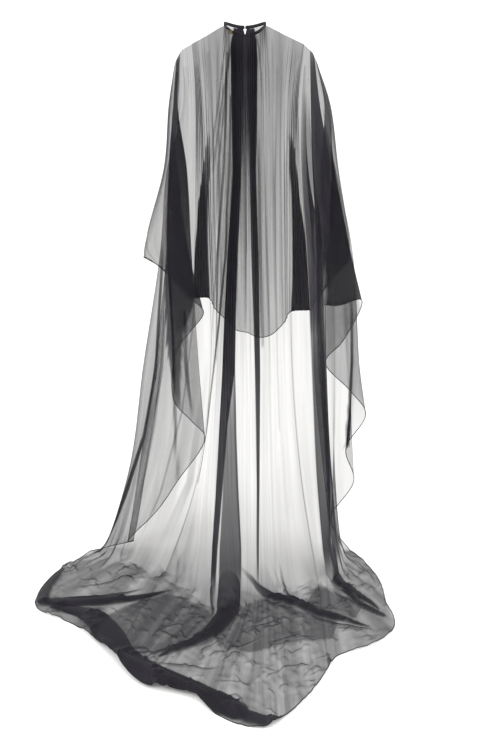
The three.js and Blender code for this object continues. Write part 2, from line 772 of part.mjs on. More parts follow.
function makeWing(side) {
  const columns = wingColumns(side);
  const isLeft = side === 'left';
  const neighbour = (list) => (isLeft ? list[1] : list.at(-2));
  const outermost = columns.reduce((best, column, i) => (column[0].z < columns[best][0].z ? i : best), 0);
  const geometry = sheetGeometry(columns, {
    ghostFirst: neighbour(backPanelColumns()),
    ghostLast: withMidpoints(neighbour(frontPanelColumns())),
    edgeNormal: (i, j) => {
      if (j !== 0) return null;
      const { z } = columns[i][0];
      const along = armPoint(side, z - 6).sub(armPoint(side, z + 6));
      const normal = new THREE.Vector3(-along.z, 0, along.x).normalize();
      return normal;
    },
    standBack: (i, j) => (j === 0 ? Math.sign(outermost - i) : 0),
  });
  return namedMesh(`${side}_wing`, geometry, CHIFFON);
}

// Neck binding: a band standing on the neckline, open at the centre back

function makeBinding() {
  const { height, thickness, lift, openDegrees, segments } = BINDING;
  const open = THREE.MathUtils.degToRad(openDegrees);
  const outer = [];
  const inner = [];
  for (let i = 0; i <= segments; i += 1) {
    const angle = mix(open, 2 * Math.PI - open, i / segments);
    const base = neckPoint(angle).setZ(neckPoint(angle).z + lift);
    const outward = new THREE.Vector3(base.x, base.y, 0).normalize();
    for (const rise of [0, height / 2, height]) {
      const bulge = rise === height / 2 ? 0.6 : 0.4;
      const place = base.clone().setZ(base.z + rise);
      outer.push(place.clone().addScaledVector(outward, thickness * bulge));
      inner.push(place.clone().addScaledVector(outward, -thickness * bulge));
    }
  }
  return namedMesh('neck_binding', closedWall(outer, inner, segments + 1, 3), CHIFFON);
}

// Hook and eye, lying inside the two ends of the binding

const FASTENING = neckPoint(0).add(new THREE.Vector3(0, -BINDING.thickness - 1.4, BINDING.height / 2));

function makeEye() {
  const geometry = new THREE.TorusGeometry(EYE.ringRadius, EYE.wireRadius, 6, 16);
  geometry.rotateX(Math.PI / 2);
  geometry.translate(FASTENING.x - EYE.ringRadius, FASTENING.y, FASTENING.z);
  return namedMesh('neck_eye', geometry, WIRE);
}

function makeHook() {
  const { reach, wireRadius, bend } = HOOK;
  const start = FASTENING.clone().add(new THREE.Vector3(reach, bend, 0));
  const path = new THREE.CatmullRomCurve3([
    start,
    start.clone().add(new THREE.Vector3(-reach * 0.5, 0, 0)),
    FASTENING.clone().add(new THREE.Vector3(-EYE.ringRadius * 0.5, bend, 0)),
    FASTENING.clone().add(new THREE.Vector3(-EYE.ringRadius, 0, 0)),
    FASTENING.clone().add(new THREE.Vector3(-EYE.ringRadius * 0.5, -bend, 0)),
    FASTENING.clone().add(new THREE.Vector3(0.8, -bend, 0)),
  ]);
  const section = new THREE.Shape();
  section.absarc(0, 0, wireRadius, 0, 2 * Math.PI);
  const geometry = new THREE.ExtrudeGeometry(section, {
    extrudePath: path,
    steps: 16,
    curveSegments: 4,
    bevelEnabled: false,
  });
  return namedMesh('neck_hook', geometry, WIRE);
}

// Label: a bare strip hanging inside the back neckline

function makeLabel() {
  const { width, height, thickness, x, below, inside } = LABEL;
  const geometry = new THREE.BoxGeometry(width, thickness, height);
  const top = topPoint(x, true);
  geometry.rotateZ(-Math.asin(x / NECK_HALF_WIDTH));
  geometry.translate(top.x, top.y - inside, top.z - below);
  return namedMesh('neck_label', geometry, SATIN);
}

const kaftan = new THREE.Group();
kaftan.add(
  makeBackPanel(),
  makeFrontPanel(),
  makeWing('left'),
  makeWing('right'),
  makeBinding(),
  makeEye(),
  makeHook(),
  makeLabel(),
);

export default kaftan;
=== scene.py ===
# A sheer black kaftan in its worn pose, seen from behind, with its train spread on the floor.
# The script follows the garment as it is put together: camera and light, the cloth, then each piece.

import math

import bmesh
import bpy
import numpy as np
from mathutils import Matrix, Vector, noise


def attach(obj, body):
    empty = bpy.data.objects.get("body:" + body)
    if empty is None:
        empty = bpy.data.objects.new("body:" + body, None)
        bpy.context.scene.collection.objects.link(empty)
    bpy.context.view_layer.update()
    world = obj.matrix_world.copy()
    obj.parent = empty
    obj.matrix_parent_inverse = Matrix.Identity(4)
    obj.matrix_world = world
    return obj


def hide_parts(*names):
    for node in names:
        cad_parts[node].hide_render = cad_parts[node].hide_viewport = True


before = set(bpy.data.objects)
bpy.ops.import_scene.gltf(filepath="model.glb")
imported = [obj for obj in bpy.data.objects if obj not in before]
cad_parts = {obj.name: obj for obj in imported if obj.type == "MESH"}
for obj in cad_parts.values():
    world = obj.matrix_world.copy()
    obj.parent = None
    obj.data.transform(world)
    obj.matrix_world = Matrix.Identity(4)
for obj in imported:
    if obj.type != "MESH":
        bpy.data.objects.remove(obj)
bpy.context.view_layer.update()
MM = 0.001

# Camera: 3 m behind the garment, a little below its neckline and looking down, as in the photograph.
# The lens is that of a 36 mm high frame which holds the whole garment and its train.

LOOKING_DOWN = 16.8
camera_data = bpy.data.cameras.new("camera_behind")
camera_data.sensor_fit = "VERTICAL"
camera_data.sensor_height = 36
camera_data.lens = 51.04
camera_data.clip_end = 60
camera = bpy.data.objects.new("camera_behind", camera_data)
camera.location = (0, 3.0, -0.060)
camera.rotation_euler = (math.radians(90 - LOOKING_DOWN), 0, math.pi)
bpy.context.scene.collection.objects.link(camera)
bpy.context.scene.camera = camera

# Studio: a white surround that lights everything softly, two large softboxes and a pale floor.
# Many sheer layers lie behind each other, so rays may pass through many of them.

FLOOR = -1.520
scene = bpy.context.scene
scene.view_settings.view_transform = "Standard"
scene.cycles.transparent_max_bounces = 96
surround = bpy.data.worlds.new("white_surround")
surround.use_nodes = True
surround.node_tree.nodes["Background"].inputs["Color"].default_value = (1.0, 0.996, 0.988, 1)
surround.node_tree.nodes["Background"].inputs["Strength"].default_value = 1.3
scene.world = surround


def softbox(name, place, aim, width, power):
    lamp = bpy.data.lights.new(name, "AREA")
    lamp.size = width
    lamp.energy = power
    box = bpy.data.objects.new(name, lamp)
    box.location = place
    box.rotation_euler = (Vector(aim) - Vector(place)).to_track_quat("-Z", "Y").to_euler()
    scene.collection.objects.link(box)


softbox("softbox_left", (2.6, 2.6, 1.6), (0, 0.2, -0.7), 1.8, 60)
softbox("softbox_right", (-2.8, 1.2, 1.8), (0, 0.2, -0.9), 1.8, 35)

floor_grid = bmesh.new()
bmesh.ops.create_grid(floor_grid, x_segments=1, y_segments=1, size=90)
bmesh.ops.translate(floor_grid, verts=floor_grid.verts, vec=(0, 0, FLOOR))
floor_mesh = bpy.data.meshes.new("studio_floor")
floor_grid.to_mesh(floor_mesh)
floor_grid.free()
studio_floor = bpy.data.objects.new("studio_floor", floor_mesh)
scene.collection.objects.link(studio_floor)
floor_paint = bpy.data.materials.new("floor_paint")
floor_paint.use_nodes = True
floor_shader = floor_paint.node_tree.nodes["Principled BSDF"]
floor_shader.inputs["Base Color"].default_value = (0.975, 0.972, 0.966, 1)
floor_shader.inputs["Roughness"].default_value = 0.9
floor_mesh.materials.append(floor_paint)

# Chiffon: a sheer plain weave of fine crepe yarn, black. Light passes between the yarns, less where
# the cloth is seen at a slant, and less again where it is gathered more finely than the mesh shows.
# Over the torso some added layers are painted shade of the body that the garment hangs on.


class Shade:
    """A shader socket: arithmetic on it adds Math nodes."""

    def __init__(self, tree, socket):
        self.tree = tree
        self.socket = socket

    def _math(self, operation, first, second):
        made = self.tree.nodes.new("ShaderNodeMath")
        made.operation = operation
        for place, value in zip(made.inputs, (first, second)):
            if isinstance(value, Shade):
                self.tree.links.new(value.socket, place)
            else:
                place.default_value = value
        return Shade(self.tree, made.outputs[0])

    def __add__(self, other):
        return self._math("ADD", self, other)

    def __radd__(self, other):
        return self._math("ADD", other, self)

    def __sub__(self, other):
        return self._math("SUBTRACT", self, other)

    def __rsub__(self, other):
        return self._math("SUBTRACT", other, self)

    def __mul__(self, other):
        return self._math("MULTIPLY", self, other)

    def __rmul__(self, other):
        return self._math("MULTIPLY", other, self)

    def __truediv__(self, other):
        return self._math("DIVIDE", self, other)

    def __rpow__(self, other):
        return self._math("POWER", other, self)

    def at_least(self, other):
        return self._math("MAXIMUM", self, other)


class Finish:
    """A material, built node by node round its Principled shader."""

    def __init__(self, name):
        self.material = bpy.data.materials.new(name)
        self.material.use_nodes = True
        self.tree = self.material.node_tree
        self.shader = self.tree.nodes["Principled BSDF"]

    def constants(self, **values):
        for name, value in values.items():
            self.shader.inputs[name.replace("_", " ")].default_value = value

    def feed(self, socket, value):
        if isinstance(value, Shade):
            self.tree.links.new(value.socket, socket)
        else:
            socket.default_value = value

    def node(self, kind, result, settings=None, values=None):
        made = self.tree.nodes.new("ShaderNode" + kind)
        for name, value in (settings or {}).items():
            if name == "stops":
                for stop, (place, colour) in zip(made.color_ramp.elements, value):
                    stop.position = place
                    stop.color = colour
            else:
                setattr(made, name, value)
        for name, value in (values or {}).items():
            self.feed(made.inputs[name], value)
        return Shade(self.tree, made.outputs[result])


LIGHT_THROUGH_CHIFFON = 0.67
LOWEST_SLANT = 0.14

chiffon = Finish("black_chiffon")
chiffon.constants(Roughness=0.62, Specular_IOR_Level=0.16, Sheen_Weight=0.03, Sheen_Roughness=0.5)
facing = chiffon.node("LayerWeight", "Facing", values={"Blend": 0.5})
layers = chiffon.node("Attribute", "Fac", {"attribute_name": "layers"})
slant = (1 - facing).at_least(LOWEST_SLANT)
opacity = 1 - LIGHT_THROUGH_CHIFFON ** (layers / slant)
chiffon.feed(chiffon.shader.inputs["Alpha"], opacity)
cloth_place = chiffon.node("UVMap", "UV")
clouding = chiffon.node("TexNoise", "Fac", values={"Vector": cloth_place, "Scale": 14.0, "Detail": 3.0})
dye = chiffon.node(
    "ValToRGB",
    "Color",
    {"stops": [(0.35, (0.0042, 0.0032, 0.0068, 1)), (0.7, (0.0098, 0.0084, 0.014, 1))]},
    {"Fac": clouding},
)
chiffon.feed(chiffon.shader.inputs["Base Color"], dye)
crepe = chiffon.node("TexNoise", "Fac", values={"Vector": cloth_place, "Scale": 900.0, "Detail": 2.0})
grain = chiffon.node("Bump", "Normal", values={"Height": crepe, "Strength": 0.15, "Distance": 0.0004})
chiffon.feed(chiffon.shader.inputs["Normal"], grain)

# How cloth hangs: each fold is a fall line through a few stations, and the cloth is a smooth sheet
# through its fall lines. Lengths in the tables are in millimetres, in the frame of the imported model.

LEVELS = {
    "chest": (-200, 105, 12),
    "elbow": (-370, 114, 6.2),
    "wrist": (-600, 125, 7),
    "thigh": (-930, 162, 8.8),
    "calf": (-1250, 238, 12),
}
ON_FLOOR = FLOOR / MM + 1.2
STEEPEST_PLEAT = 1.6
WRINKLE = {"across": 62, "along": 110}
CREASE = {"across": 120, "along": 74, "sharpness": 7, "layers": 1.2}


def smooth(low, high, value):
    share = np.clip((value - low) / (high - low), 0, 1)
    return share * share * (3 - 2 * share)


def curve_between(before, start, end, after, share):
    """A centripetal curve from start to end, led by its neighbours."""
    gaps = [
        np.maximum(np.sqrt(np.linalg.norm(b - a, axis=-1, keepdims=True)), 0.02)
        for a, b in ((before, start), (start, end), (end, after))
    ]
    leave = (start - before) / gaps[0] - (end - before) / (gaps[0] + gaps[1]) + (end - start) / gaps[1]
    arrive = (end - start) / gaps[1] - (after - start) / (gaps[1] + gaps[2]) + (after - end) / gaps[2]
    leave = leave * gaps[1]
    arrive = arrive * gaps[1]
    return (
        start
        + leave * share
        + (3 * (end - start) - 2 * leave - arrive) * share**2
        + (2 * (start - end) + leave + arrive) * share**3
    )


def curve_through(points, steps):
    """Points along a smooth curve, steps of them from each given point to the next."""
    points = [np.asarray(point, float) for point in points]
    ends = [2 * points[0] - points[1], *points, 2 * points[-1] - points[-2]]
    curve = []
    for i in range(len(points) - 1):
        count = steps[i] if hasattr(steps, "__len__") else steps
        for step in range(count):
            curve.append(curve_between(*ends[i : i + 4], step / count))
    curve.append(points[-1])
    return np.array(curve)


def fall_line(stations, rows, start=0.0):
    """A fold from its top station to its last, in even steps, closer together on the floor."""
    fine = curve_through(stations, 24)
    fine[:, 2] = np.maximum(fine[:, 2], ON_FLOOR)
    lying = smooth(ON_FLOOR + 200, ON_FLOOR, fine[1:, 2])
    lengths = np.linalg.norm(np.diff(fine, axis=0), axis=1)
    along = np.concatenate([[0], np.cumsum(lengths * (1 + 1.3 * lying))])
    wanted = np.linspace(start, along[-1], rows)
    return np.stack([np.interp(wanted, along, fine[:, axis]) for axis in range(3)], axis=1)


class Cloth:
    """A sheet of cloth as a grid of points, columns across it and rows down it."""

    def __init__(self, fall_lines, steps, side):
        self.points = curve_through(fall_lines, steps)
        marks = np.concatenate([[0], np.cumsum(steps)])
        self.place = np.interp(np.arange(len(self.points)), marks, np.arange(len(marks)))
        self.layers = np.ones(self.points.shape[:2])
        self.standing = np.zeros(self.points.shape[:2])
        across = np.gradient(self.points, axis=0)
        down = np.gradient(self.points, axis=1)
        normal = np.cross(across, down) * side
        self.normal = normal / np.maximum(np.linalg.norm(normal, axis=2, keepdims=True), 1e-9)
        widths = np.linalg.norm(np.diff(self.points, axis=0), axis=2)
        self.across = np.concatenate([np.zeros((1, widths.shape[1])), np.cumsum(widths, axis=0)])
        drops = np.linalg.norm(np.diff(self.points, axis=1), axis=2)
        self.down = np.concatenate([np.zeros((len(drops), 1)), np.cumsum(drops, axis=1)], axis=1)
        self.lying = 1 - smooth(ON_FLOOR + 8, ON_FLOOR + 90, self.points[:, :, 2])

    def across_at(self, place):
        column = np.interp(place, self.place, np.arange(len(self.place)))
        low = min(int(column), len(self.place) - 2)
        return self.across[low] + (self.across[low + 1] - self.across[low]) * (column - low)

    def gather(self, fold, pleats, cloth_width, deep, shift):
        """Pleats between one fold and the next, as deep as the cloth's own width makes them."""
        columns = (self.place >= fold) & (self.place <= fold + 1)
        share = (self.place[columns] - fold)[:, None]
        pitch = (self.across_at(fold + 1) - self.across_at(fold))[None, :] / pleats
        spare = np.maximum((cloth_width / pleats) ** 2 - pitch**2, 0)
        height = np.minimum(np.minimum(0.5 * np.sqrt(spare), deep), STEEPEST_PLEAT * pitch)
        down = self.down[columns]
        ends = np.minimum(share, 1 - share) * pleats
        lean = 0.5 * np.sin(down / 260 + 2.1 * fold + shift) * np.clip(ends * 2, 0, 1)
        bunched = 0.12 * np.sin(math.tau * (share + 0.37 * fold)) * np.clip(ends, 0, 1)
        wave = (1 - np.cos(math.tau * pleats * share + lean + math.tau * bunched)) / 2
        pressed = 0.3 + 0.7 * smooth(0, 90, down)
        z = self.points[columns][:, :, 2]
        calm = smooth(-1510, -1200, z) * (0.15 + 0.85 * smooth(-1150, -350, z))
        self.standing[columns] += wave * height * pressed * calm

    def vary(self, amount, seed):
        """Threads lie a little closer in some runs of the cloth than in others."""
        for i, place in enumerate(self.place):
            for j in range(0, self.layers.shape[1], 4):
                spot = Vector((place * 3.1, self.down[i, j] / 420, seed))
                self.layers[i, j : j + 4] *= 1 + amount * noise.fractal(spot, 0.8, 2.2, 3)

    def overlay(self, stations, folds=(0, 99), edge=1.6, height=0.0):
        """Cloth lying over itself: at each height, from one side to the other, so many more layers."""
        z = self.points[:, :, 2]
        rows = np.array(sorted(stations), float)
        left, right, layers = (np.interp(z, rows[:, 0], rows[:, k]) for k in (1, 2, 3))
        x = self.points[:, :, 0]
        inside = smooth(-edge, edge, left - x) * smooth(-edge, edge, x - right)
        inside *= (z >= rows[0, 0]) & (z <= rows[-1, 0])
        inside *= ((self.place >= folds[0]) & (self.place <= folds[1]))[:, None]
        inside *= 1 - self.lying
        self.layers += layers * inside
        self.standing += height * inside

    def crease(self, fold, stations):
        """A line along a fold: at each height, how wide it is to each side and its extra layers."""
        z = self.points[:, :, 2]
        rows = np.array(sorted(stations), float)
        wide = np.interp(z, rows[:, 0], rows[:, 1])
        layers = np.interp(z, rows[:, 0], rows[:, 2]) * ((z >= rows[0, 0]) & (z <= rows[-1, 0]))
        layers = layers * (1 - 0.85 * self.lying)
        away = self.across - self.across_at(fold)[None, :]
        self.layers += layers * np.exp(-((away / wide) ** 2))

    def line_on_floor(self, path, curl=4):
        """For each point of the cloth, how far it is from a path on the floor, and how far along."""
        line = curve_through([np.array([x, y]) for x, y in path], curl)
        flat = self.points[:, :, :2]
        nearest = np.full(flat.shape[:2], 1e9)
        run = np.zeros(flat.shape[:2])
        for k in range(len(line) - 1):
            step = line[k + 1] - line[k]
            share = np.clip((flat - line[k]) @ step / (step @ step), 0, 1)
            distance = np.linalg.norm(flat - line[k] - share[..., None] * step, axis=2)
            run = np.where(distance < nearest, (k + share) / (len(line) - 1), run)
            nearest = np.minimum(distance, nearest)
        return nearest, run

    def lay_fold(self, path, half_width, layers, height, tapers=(1, 1)):
        """A fold or roll of cloth lying on the floor along a path, thinning out at its ends."""
        distance, run = self.line_on_floor(path)
        wide = half_width * (1 - tapers[0] * (1 - run) ** 3) * (1 - tapers[1] * run**3)
        inside = smooth(-1, 6, wide - distance) * self.lying
        self.layers += layers * inside
        round_top = np.sqrt(np.clip(1 - (distance / np.maximum(wide, 1)) ** 2, 0, 1))
        self.standing += height * round_top * self.lying * np.clip(wide / half_width, 0, 1)

    def double(self, outline, layers):
        """Cloth lying doubled on the floor inside an outline."""
        corners = [np.array(corner, float) for corner in outline]
        distance, _ = self.line_on_floor([*outline, outline[0]])
        x, y = self.points[:, :, 0], self.points[:, :, 1]
        inside = np.zeros(x.shape, bool)
        for (ax, ay), (bx, by) in zip(corners, corners[1:] + corners[:1]):
            crosses = (ay > y) != (by > y)
            rise = by - ay if by != ay else 1e-9
            inside ^= crosses & (x < ax + (bx - ax) * (y - ay) / rise)
        self.layers += layers * smooth(-4, 4, np.where(inside, distance, -distance)) * self.lying

    def crumple(self, height):
        """Low wrinkles where the cloth lies on the floor, some with a sharp crease."""
        for i, column in enumerate(self.points):
            for j in np.nonzero(self.lying[i] > 0)[0]:
                x, y, _ = column[j]
                spot = Vector((x / WRINKLE["across"], (y + x * 0.4) / WRINKLE["along"], 3.1))
                rise = noise.fractal(spot, 0.7, 2.1, 3)
                spot = Vector(((x + y * 0.3) / CREASE["across"], (y - x * 0.5) / CREASE["along"], 7.7))
                bend = noise.fractal(spot, 0.8, 2.0, 3)
                ridge = max(1 - CREASE["sharpness"] * abs(bend), 0) * max(min(rise + 0.1, 0.6), 0)
                self.standing[i, j] += height * self.lying[i, j] * (0.7 * max(rise + 0.2, 0) + ridge)
                self.layers[i, j] += CREASE["layers"] * self.lying[i, j] * ridge

    def finish_points(self):
        points = self.points + self.normal * self.standing[:, :, None]
        points[:, :, 2] = np.maximum(points[:, :, 2], ON_FLOOR)
        return points


def sew(name, cloth, finish):
    """The mesh of a sheet: a grid moved to the cloth's points, with its own flat measure as UV."""
    points = cloth.finish_points() * MM
    columns, rows = points.shape[:2]
    grid = bmesh.new()
    bmesh.ops.create_grid(grid, x_segments=columns - 1, y_segments=rows - 1, size=1)
    measure = grid.loops.layers.uv.new("UVMap")
    layers = grid.verts.layers.float.new("layers")
    seats = {}
    for vertex in grid.verts:
        i = round((vertex.co.x + 1) / 2 * (columns - 1))
        j = round((vertex.co.y + 1) / 2 * (rows - 1))
        seats[vertex] = (i, j)
        vertex.co = points[i, j]
        vertex[layers] = max(cloth.layers[i, j], 0.4)
    middle = cloth.across[:, rows // 2] * MM
    for face in grid.faces:
        face.smooth = True
        for loop in face.loops:
            i, j = seats[loop.vert]
            loop[measure].uv = (middle[i], cloth.down[i, j] * MM)
    mesh = bpy.data.meshes.new(name)
    grid.to_mesh(mesh)
    grid.free()
    mesh.materials.append(finish.material)
    piece = bpy.data.objects.new(name, mesh)
    scene.collection.objects.link(piece)
    return piece


# Rolled hems: the cut edge turned twice round itself and caught with tiny stitches, a dense black
# cord less than 2 mm thick along every free edge. Seams are as dense, being turned in as well.

rolled = Finish("rolled_chiffon")
rolled.constants(Roughness=0.7, Specular_IOR_Level=0.2)
roll_noise = rolled.node("TexNoise", "Fac", values={"Scale": 300.0, "Detail": 2.0})
roll_dye = rolled.node(
    "ValToRGB",
    "Color",
    {"stops": [(0.3, (0.006, 0.005, 0.007, 1)), (0.7, (0.014, 0.013, 0.015, 1))]},
    {"Fac": roll_noise},
)
rolled.feed(rolled.shader.inputs["Base Color"], roll_dye)
HEM_RADIUS = 1.15


def roll(name, runs, radius):
    """One mesh of round cords along runs of points."""
    path = bpy.data.curves.new(name, "CURVE")
    path.dimensions = "3D"
    path.bevel_depth = radius * MM
    path.bevel_resolution = 1
    path.use_fill_caps = True
    for run in runs:
        spline = path.splines.new("POLY")
        spline.points.add(len(run) - 1)
        for point, place in zip(spline.points, run):
            point.co = (*(np.maximum(place, (-1e9, -1e9, ON_FLOOR)) * MM), 1)
    cord = bpy.data.objects.new(name, path)
    mesh = bpy.data.meshes.new_from_object(cord)
    bpy.data.objects.remove(cord)
    mesh.name = name
    mesh.materials.clear()
    mesh.materials.append(rolled.material)
    for face in mesh.polygons:
        face.use_smooth = True
    piece = bpy.data.objects.new(name, mesh)
    scene.collection.objects.link(piece)
    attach(piece, "root")
    return piece


# Back panel: one length of chiffon, gathered tightly into the binding at the centre back and run out
# into the train. Columns of the table: x at the top and at each level, touch and end on the floor,
# then how the cloth up to the next fold is gathered: pleats, its own width, and how deep they stand.

BACK_LEVELS = ("chest", "elbow", "wrist", "thigh", "calf")
BACK_FOLDS = [
    ("seam left", 146, (127, 110, 103, 98, 140), (235, 243), (333, 693), 2, 130, 3),
    ("plain left", 104, (90, 86, 90, 92, 126), (168, 350), (300, 750), 2, 80, 3),
    ("neck side left", 57, (70, 71, 78, 87, 110), (134, 400), (276, 786), 2, 60, 4),
    ("fan left", 46, (54, 55, 66, 80, 97), (102, 440), (256, 808), 3, 80, 6),
    ("band left", 36, (38, 38, 54, 72, 85), (71, 466), (234, 825), 6, 250, 12),
    ("band right", 20, (22, 20, 26, 27, 18), (11, 440), (121, 868), 4, 110, 6),
    ("slit left", 4, (3, 0, -1, -3, -6), (-5, 430), (84, 912), 0, 0, 0),
    ("slit foot", 0, (-1, -3, -4, -6, -10), (-9, 428), (72, 926), 0, 0, 0),
    ("slit right", -4, (-5, -7, -8, -10, -14), (-14, 426), (58, 938), 2, 60, 5),
    ("strip left", -14, (-16, -20, -25, -28, -31), (-31, 410), (14, 969), 4, 130, 9),
    ("strip right", -30, (-33, -36, -40, -42, -43), (-47, 402), (-50, 982), 3, 70, 4),
    ("fan right", -46, (-50, -54, -58, -62, -68), (-76, 388), (-82, 952), 2, 50, 3),
    ("neck side right", -57, (-68, -71, -75, -80, -90), (-104, 372), (-108, 920), 2, 90, 4),
    ("plain right", -106, (-104, -100, -101, -106, -124), (-150, 352), (-160, 840), 2, 80, 3),
    ("seam right", -162, (-143, -134, -129, -135, -164), (-210, 328), (-207, 745), 0, 0, 0),
]
NECK = {"half_width": 57, "half_depth": 60, "tilt": 10, "side_rise": 10}
SHOULDER_ENDS = {1: (146, -37), -1: (-162, -38)}
SLIT_DROP = 34
ROWS = 290

# Where the back lies over itself: height, from x to x, and how many more layers. Taken in turn: the
# gathers under the binding, the dark fold left of the centre, the wide fold beside it lower down,
# the fold right of the centre, then the single lines round them.

BACK_OVERLAYS = [
    [(12, 27, -21, 9), (-40, 35, -30, 10), (-80, 36, -32, 10), (-130, 36, -32, 8), (-220, 35, -31, 4.5),
     (-370, 33, -29, 1), (-600, 45, -35, 0)],
    [(-120, 37, 12, 0), (-200, 36, 9, 3), (-290, 34, 9, 5), (-370, 33, 11, 7), (-480, 40, 15, 7.5),
     (-600, 48, 21, 8), (-760, 57, 26, 8), (-930, 64, 30, 8), (-1080, 73, 50, 7.5),
     (-1250, 82, 64, 8), (-1400, 92, 78, 8), (-1519, 97, 84, 8)],
    [(-930, 34, 29, 1), (-1020, 50, 27, 2.5), (-1100, 56, 26, 3.4), (-1250, 62, 21, 3.8),
     (-1400, 71, 13, 4.4), (-1519, 72, 14, 6)],
    [(-600, 25, 20, 1), (-930, 32, 28, 1.5), (-1100, 28, 25, 2.5), (-1250, 23, 19.5, 3),
     (-1400, 15, 11, 3), (-1519, 15, 10, 3)],
    [(-120, -8, -33, 0), (-200, -9, -32, 3), (-290, -12, -31, 5), (-370, -13, -29, 6.5),
     (-600, -18, -37, 6), (-930, -29, -43, 5.5), (-1100, -32, -42, 5.5), (-1250, -34, -41, 6),
     (-1400, -33, -39, 5), (-1510, -33, -38, 3)],
    [(-170, 1, -4, 0), (-260, 0, -4, 2.5), (-600, 0, -4, 2.5), (-800, -1, -4, 0.6)],
    [(-260, -33, -39, 0), (-370, -35, -42, 1.6), (-600, -38, -47, 1.6), (-860, -46, -53, 1)],
    [(-20, 34, 30, 2), (-120, 50, 46, 2.2), (-215, 68, 63, 1.6), (-370, 90, 84, 1)],
    [(-60, 46, 42, 3), (-200, 54, 48, 3), (-370, 61, 56, 2.4), (-600, 79, 73, 2.2),
     (-900, 84, 80, 0.8)],
    [(-170, 41, 37, 2), (-370, 46, 40, 2.2), (-480, 52, 47, 2), (-600, 57, 51, 3),
     (-800, 77, 72, 3.6), (-930, 92, 88, 2.8), (-1100, 114, 110, 2.4), (-1250, 139, 134, 1)],
    [(-12, 46, 42, 0), (-100, 60, 56, 1.7), (-220, 78, 74, 1.7), (-350, 97, 93, 1), (-480, 100, 96, 0)],
    [(-20, 41, 38, 0), (-140, 51, 47, 2), (-360, 75, 71, 1.7), (-520, 81, 77, 0)],
    [(-240, 28, 24, 0), (-370, 27, 23, 1.8), (-560, 33, 29, 2.2), (-740, 41, 37, 0)],
    [(-330, 66, 62, 0), (-480, 70, 66, 1.4), (-680, 86, 82, 1.4), (-860, 96, 93, 0)],
    [(-300, -52, -55, 0), (-520, -56, -60, 1.2), (-760, -64, -68, 1), (-980, -72, -75, 0)],
    [(-5, -24, -27, 2), (-50, -34, -38, 2), (-110, -40, -43, 1.2), (-200, -43, -47, 0)],
    [(-60, 104, 96, 0.6), (-300, 88, 82, 0.9), (-600, 92, 88, 0.6)],
    [(-100, -84, -90, 0.4), (-400, -78, -84, 0.9), (-700, -84, -88, 0.6), (-1100, -96, -100, 0.4)],
]
# A little more density over the whole upper back: partly the cloth's gathered fullness, partly painted
# shade of the body that it hangs on.
UPPER_BACK_FULLNESS_AND_SHADE = [(12, 170, -170, 0.3), (-400, 170, -170, 0.35), (-900, 170, -170, 0)]


def neck_point(angle):
    return np.array(
        [
            NECK["half_width"] * math.sin(angle),
            NECK["half_depth"] * math.cos(angle),
            NECK["tilt"] * math.cos(angle) - NECK["side_rise"] * math.cos(2 * angle),
        ]
    )


def top_point(x, is_back):
    if abs(x) <= NECK["half_width"]:
        angle = math.asin(x / NECK["half_width"])
        return neck_point(angle if is_back else math.pi - angle)
    end_x, end_z = SHOULDER_ENDS[1 if x > 0 else -1]
    side_z = neck_point(math.pi / 2)[2]
    share = (abs(x) - NECK["half_width"]) / (abs(end_x) - NECK["half_width"])
    return np.array([x, 0, side_z + (end_z - side_z) * share])


def floor_run(touch, end):
    touch, end = np.array([*touch, ON_FLOOR]), np.array([*end, ON_FLOOR])
    return [touch, touch + (end - touch) * 0.35, touch + (end - touch) * 0.7, end]


def back_fall_line(top, levels, touch, end, start=0.0):
    stations = [top]
    for level, x in zip(BACK_LEVELS, levels):
        z, depth, bow = LEVELS[level]
        stations.append(np.array([x, depth - bow * (x / 100) ** 2, z]))
    return fall_line(stations + floor_run(touch, end), ROWS, start)


# Folds of the train on the floor: path, half its width, more layers, how high it stands, and how
# much it thins out at each end. Then the parts where the cloth lies doubled.

